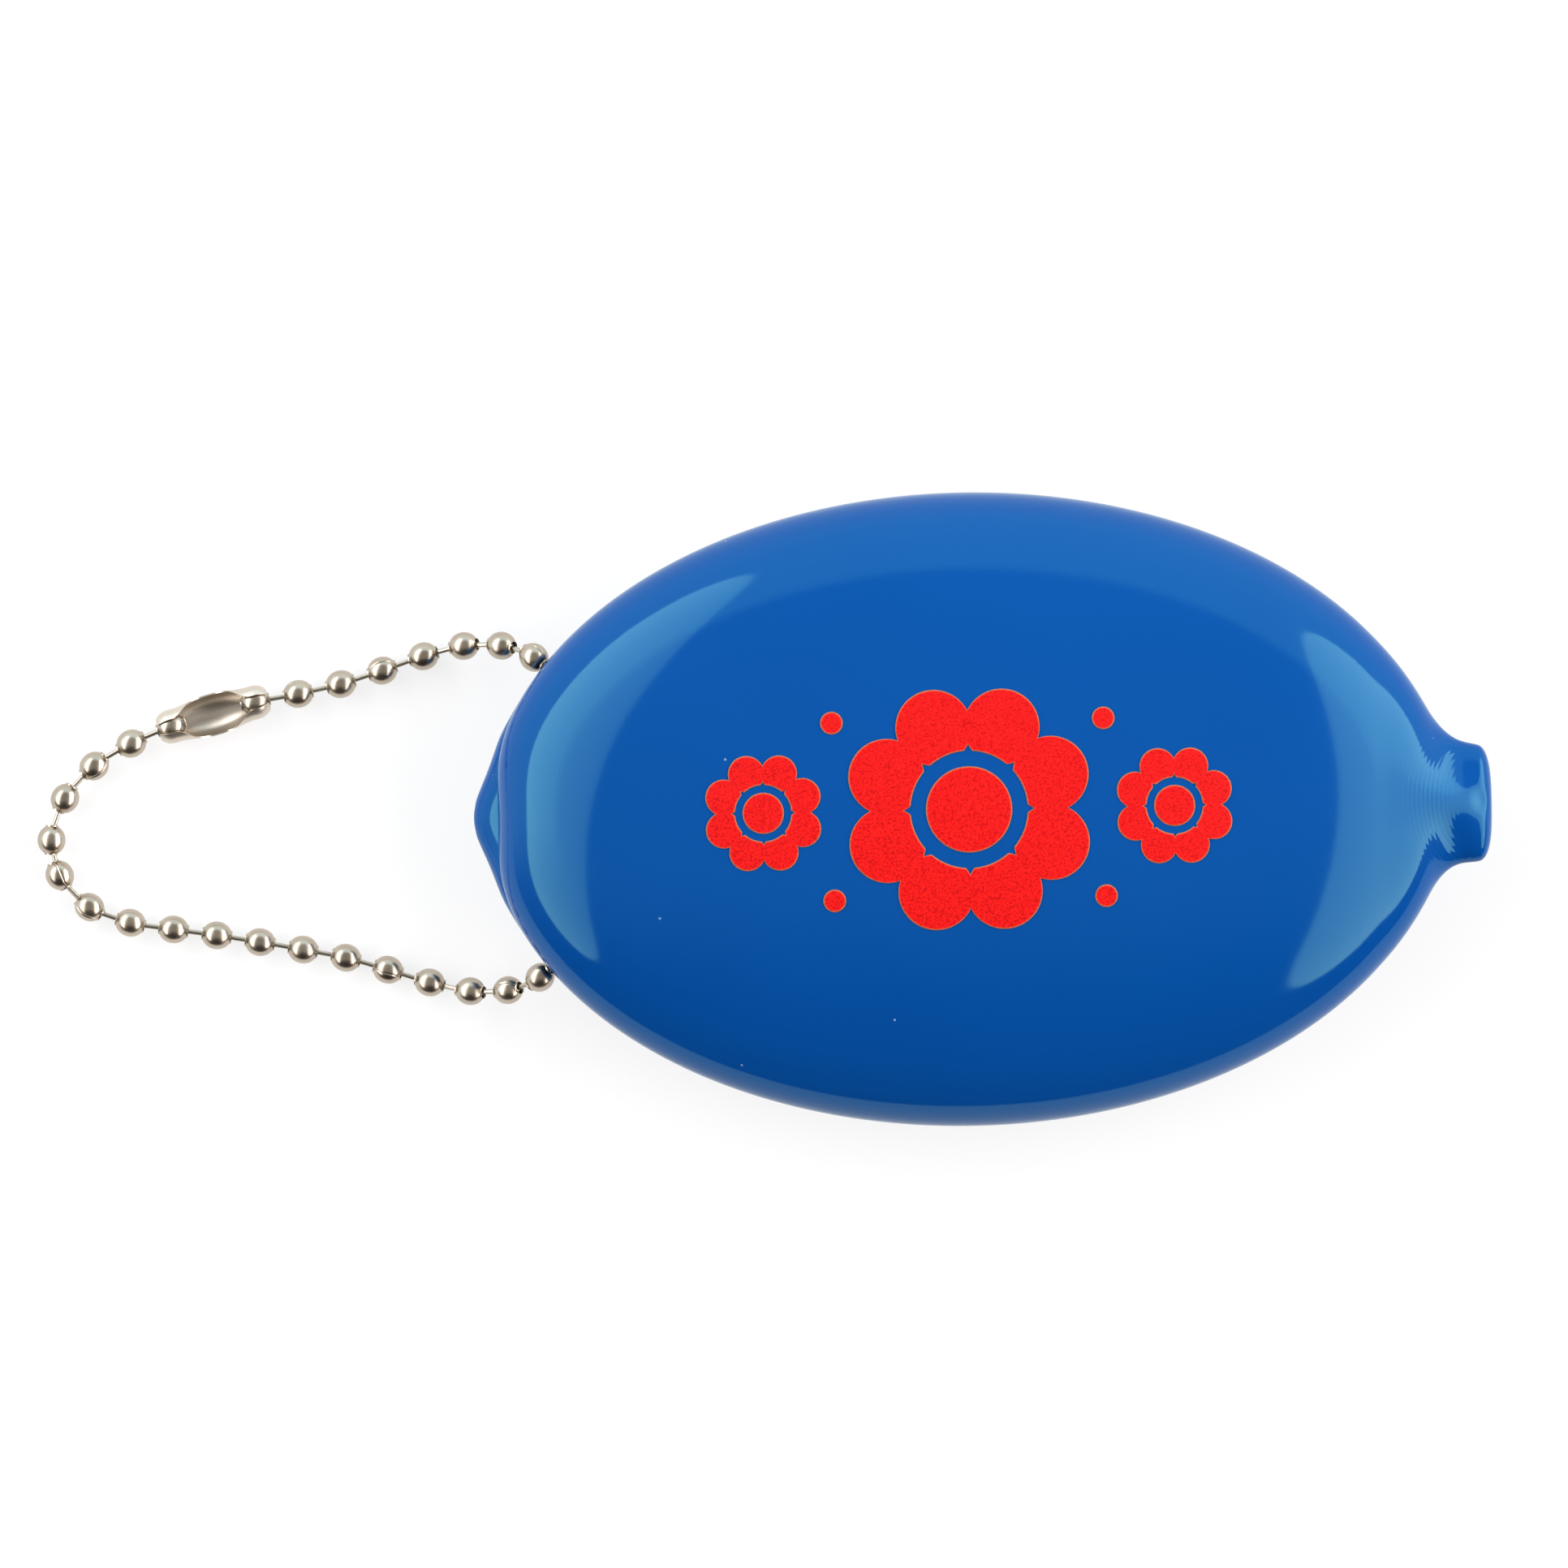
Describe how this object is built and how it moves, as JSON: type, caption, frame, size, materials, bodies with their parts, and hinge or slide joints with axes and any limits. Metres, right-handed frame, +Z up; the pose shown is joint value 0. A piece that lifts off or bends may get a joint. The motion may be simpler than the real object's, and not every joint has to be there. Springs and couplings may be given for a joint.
{
  "type": "squeeze coin purse",
  "caption": "Oval moulded coin purse with a slit back whose lips part when squeezed, a printed flower on its front and a loop of ball chain.",
  "frame": {"origin": "middle of the flat on the back of the purse, on which it rests", "axes": "+X along the purse towards its neck, +Y across it, +Z up out of the printed front"},
  "size_m": [0.1162, 0.0504, 0.0176],
  "materials": {
    "vinyl": "glossy flexible dip-moulded vinyl, opaque blue",
    "print_ink": "screen-printed red ink with a fine grain",
    "bead_shell": "bright nickel plate on a rolled steel bead",
    "link_wire": "bright nickel plate on drawn wire",
    "connector_sheet": "nickel plate over thin sheet, lightly brushed inside"
  },
  "bodies": {
    "root": {"front_shell": "vinyl", "front_print": "print_ink", "threaded_beads": "bead_shell", "threaded_links": "link_wire"},
    "upper_lip": {"upper_lip": "vinyl"},
    "lower_lip": {"lower_lip": "vinyl"},
    "upper_strand_01": {"bead_01": "bead_shell", "link_01": "link_wire"},
    "upper_strand_02": {"bead_02": "bead_shell", "link_02": "link_wire"},
    "upper_strand_03": {"bead_03": "bead_shell", "link_03": "link_wire"},
    "upper_strand_04": {"bead_04": "bead_shell", "link_04": "link_wire"},
    "upper_strand_05": {"bead_05": "bead_shell", "link_05": "link_wire"},
    "upper_strand_06": {"bead_06": "bead_shell", "link_06": "link_wire"},
    "upper_strand_07": {"bead_07": "bead_shell", "link_07": "link_wire"},
    "upper_strand_08": {"bead_08": "bead_shell", "connector": "connector_sheet"},
    "upper_strand_09": {"bead_09": "bead_shell", "link_08": "link_wire"},
    "upper_strand_10": {"bead_10": "bead_shell", "link_09": "link_wire"},
    "upper_strand_11": {"bead_11": "bead_shell", "link_10": "link_wire"},
    "upper_strand_12": {"bead_12": "bead_shell", "link_11": "link_wire"},
    "upper_strand_13": {"bead_13": "bead_shell", "link_12": "link_wire"},
    "lower_strand_26": {"bead_26": "bead_shell", "link_24": "link_wire"},
    "lower_strand_25": {"bead_25": "bead_shell", "link_23": "link_wire"},
    "lower_strand_24": {"bead_24": "bead_shell", "link_22": "link_wire"},
    "lower_strand_23": {"bead_23": "bead_shell", "link_21": "link_wire"},
    "lower_strand_22": {"bead_22": "bead_shell", "link_20": "link_wire"},
    "lower_strand_21": {"bead_21": "bead_shell", "link_19": "link_wire"},
    "lower_strand_20": {"bead_20": "bead_shell", "link_18": "link_wire"},
    "lower_strand_19": {"bead_19": "bead_shell", "link_17": "link_wire"},
    "lower_strand_18": {"bead_18": "bead_shell", "link_16": "link_wire"},
    "lower_strand_17": {"bead_17": "bead_shell", "link_15": "link_wire"},
    "lower_strand_16": {"bead_16": "bead_shell", "link_14": "link_wire"},
    "lower_strand_15": {"bead_15": "bead_shell", "link_13": "link_wire"},
    "lower_strand_14": {"bead_14": "bead_shell"}
  },
  "joints": [
    {"name": "slit_open", "type": "hinge", "parent": "root", "child": "upper_lip", "pos_m": [0, 0.0252, 0.008], "axis": [1, 0, 0], "range_deg": [0, 25], "stiffness_Nm_per_rad": 0.02},
    {"name": "lower_lip_open", "type": "hinge", "parent": "root", "child": "lower_lip", "pos_m": [0, -0.0252, 0.008], "axis": [-1, 0, 0], "range_deg": [0, 25], "stiffness_Nm_per_rad": 0.02},
    {"name": "chain_lift", "type": "hinge", "parent": "root", "child": "upper_strand_01", "pos_m": [-0.03379, 0.01239, 0.00635], "axis": [0, 1, 0], "range_deg": [0, 30]},
    {"name": "upper_lift_02", "type": "hinge", "parent": "upper_strand_01", "child": "upper_strand_02", "pos_m": [-0.03634, 0.01366, 0.00435], "axis": [0, 1, 0], "range_deg": [0, 12]},
    {"name": "upper_lift_03", "type": "hinge", "parent": "upper_strand_02", "child": "upper_strand_03", "pos_m": [-0.03934, 0.01388, 0.00255], "axis": [0, 1, 0], "range_deg": [0, 15]},
    {"name": "upper_lift_04", "type": "hinge", "parent": "upper_strand_03", "child": "upper_strand_04", "pos_m": [-0.04258, 0.01323, 0.0014], "axis": [0, 1, 0], "range_deg": [0, 13]},
    {"name": "upper_lift_05", "type": "hinge", "parent": "upper_strand_04", "child": "upper_strand_05", "pos_m": [-0.04591, 0.01218, 0.0012], "axis": [0, 1, 0], "range_deg": [0, 20]},
    {"name": "chain_swing", "type": "hinge", "parent": "upper_strand_05", "child": "upper_strand_06", "pos_m": [-0.04925, 0.01112, 0.00117], "axis": [0, 0, 1], "range_deg": [-11, 11]},
    {"name": "upper_swing_07", "type": "hinge", "parent": "upper_strand_06", "child": "upper_strand_07", "pos_m": [-0.05266, 0.01036, 0.00135], "axis": [0, 0, 1], "range_deg": [-3.19, 3.19]},
    {"name": "upper_swing_08", "type": "hinge", "parent": "upper_strand_07", "child": "upper_strand_08", "pos_m": [-0.0561, 0.00978, 0.00157], "axis": [0, 0, 1], "range_deg": [-3.19, 3.19]},
    {"name": "upper_swing_09", "type": "hinge", "parent": "upper_strand_08", "child": "upper_strand_09", "pos_m": [-0.06348, 0.00783, 0.00159], "axis": [0, 0, 1], "range_deg": [-4.18, 4.18]},
    {"name": "upper_swing_10", "type": "hinge", "parent": "upper_strand_09", "child": "upper_strand_10", "pos_m": [-0.06615, 0.0068, 0.00143], "axis": [0, 0, 1], "range_deg": [-3.74, 3.74]},
    {"name": "upper_swing_11", "type": "hinge", "parent": "upper_strand_10", "child": "upper_strand_11", "pos_m": [-0.06925, 0.00517, 0.00121], "axis": [0, 0, 1], "range_deg": [-5.17, 5.17]},
    {"name": "upper_swing_12", "type": "hinge", "parent": "upper_strand_11", "child": "upper_strand_12", "pos_m": [-0.0718, 0.00277, 0.00119], "axis": [0, 0, 1], "range_deg": [-6.16, 6.16]},
    {"name": "upper_swing_13", "type": "hinge", "parent": "upper_strand_12", "child": "upper_strand_13", "pos_m": [-0.07323, -0.00045, 0.00119], "axis": [0, 0, 1], "range_deg": [-1.1, 1.1]},
    {"name": "lower_lift_01", "type": "hinge", "parent": "root", "child": "lower_strand_26", "pos_m": [-0.03379, -0.01239, 0.00635], "axis": [0, 1, 0], "range_deg": [0, 30]},
    {"name": "lower_lift_02", "type": "hinge", "parent": "lower_strand_26", "child": "lower_strand_25", "pos_m": [-0.03634, -0.01366, 0.00435], "axis": [0, 1, 0], "range_deg": [0, 12]},
    {"name": "lower_lift_03", "type": "hinge", "parent": "lower_strand_25", "child": "lower_strand_24", "pos_m": [-0.03934, -0.01388, 0.00255], "axis": [0, 1, 0], "range_deg": [0, 15]},
    {"name": "lower_lift_04", "type": "hinge", "parent": "lower_strand_24", "child": "lower_strand_23", "pos_m": [-0.04258, -0.01323, 0.0014], "axis": [0, 1, 0], "range_deg": [0, 13]},
    {"name": "lower_lift_05", "type": "hinge", "parent": "lower_strand_23", "child": "lower_strand_22", "pos_m": [-0.04591, -0.01218, 0.0012], "axis": [0, 1, 0], "range_deg": [0, 20]},
    {"name": "lower_swing_21", "type": "hinge", "parent": "lower_strand_22", "child": "lower_strand_21", "pos_m": [-0.04925, -0.01112, 0.00119], "axis": [0, 0, 1], "range_deg": [-4.84, 4.84]},
    {"name": "lower_swing_20", "type": "hinge", "parent": "lower_strand_21", "child": "lower_strand_20", "pos_m": [-0.05267, -0.01037, 0.00119], "axis": [0, 0, 1], "range_deg": [-5.72, 5.72]},
    {"name": "lower_swing_19", "type": "hinge", "parent": "lower_strand_20", "child": "lower_strand_19", "pos_m": [-0.0561, -0.00969, 0.00119], "axis": [0, 0, 1], "range_deg": [-5.06, 5.06]},
    {"name": "lower_swing_18", "type": "hinge", "parent": "lower_strand_19", "child": "lower_strand_18", "pos_m": [-0.05955, -0.00907, 0.00119], "axis": [0, 0, 1], "range_deg": [-1.98, 1.98]},
    {"name": "lower_swing_17", "type": "hinge", "parent": "lower_strand_18", "child": "lower_strand_17", "pos_m": [-0.06301, -0.00853, 0.00119], "axis": [0, 0, 1], "range_deg": [-5.72, 5.72]},
    {"name": "lower_swing_16", "type": "hinge", "parent": "lower_strand_17", "child": "lower_strand_16", "pos_m": [-0.06647, -0.008, 0.00119], "axis": [0, 0, 1], "range_deg": [-12.98, 12.98]},
    {"name": "lower_swing_15", "type": "hinge", "parent": "lower_strand_16", "child": "lower_strand_15", "pos_m": [-0.0698, -0.00688, 0.00119], "axis": [0, 0, 1], "range_deg": [-6.38, 6.38]},
    {"name": "lower_swing_14", "type": "hinge", "parent": "lower_strand_15", "child": "lower_strand_14", "pos_m": [-0.07238, -0.00448, 0.00119], "axis": [0, 0, 1], "range_deg": [-2.53, 2.53]}
  ],
  "couplings": [
    {"joint": "lower_lip_open", "follows": "slit_open", "ratio": 1},
    {"joint": "upper_lift_02", "follows": "chain_lift", "ratio": 0.4},
    {"joint": "upper_lift_03", "follows": "chain_lift", "ratio": 0.5},
    {"joint": "upper_lift_04", "follows": "chain_lift", "ratio": 0.43333},
    {"joint": "upper_lift_05", "follows": "chain_lift", "ratio": 0.66667},
    {"joint": "upper_swing_07", "follows": "chain_swing", "ratio": 0.29},
    {"joint": "upper_swing_08", "follows": "chain_swing", "ratio": -0.29},
    {"joint": "upper_swing_09", "follows": "chain_swing", "ratio": -0.38},
    {"joint": "upper_swing_10", "follows": "chain_swing", "ratio": -0.34},
    {"joint": "upper_swing_11", "follows": "chain_swing", "ratio": -0.47},
    {"joint": "upper_swing_12", "follows": "chain_swing", "ratio": -0.56},
    {"joint": "upper_swing_13", "follows": "chain_swing", "ratio": -0.1},
    {"joint": "lower_lift_01", "follows": "chain_lift", "ratio": 1},
    {"joint": "lower_lift_02", "follows": "chain_lift", "ratio": 0.4},
    {"joint": "lower_lift_03", "follows": "chain_lift", "ratio": 0.5},
    {"joint": "lower_lift_04", "follows": "chain_lift", "ratio": 0.43333},
    {"joint": "lower_lift_05", "follows": "chain_lift", "ratio": 0.66667},
    {"joint": "lower_swing_21", "follows": "chain_swing", "ratio": 0.44},
    {"joint": "lower_swing_20", "follows": "chain_swing", "ratio": 0.52},
    {"joint": "lower_swing_19", "follows": "chain_swing", "ratio": 0.46},
    {"joint": "lower_swing_18", "follows": "chain_swing", "ratio": 0.18},
    {"joint": "lower_swing_17", "follows": "chain_swing", "ratio": -0.52},
    {"joint": "lower_swing_16", "follows": "chain_swing", "ratio": -1.18},
    {"joint": "lower_swing_15", "follows": "chain_swing", "ratio": -0.58},
    {"joint": "lower_swing_14", "follows": "chain_swing", "ratio": 0.23}
  ]
}
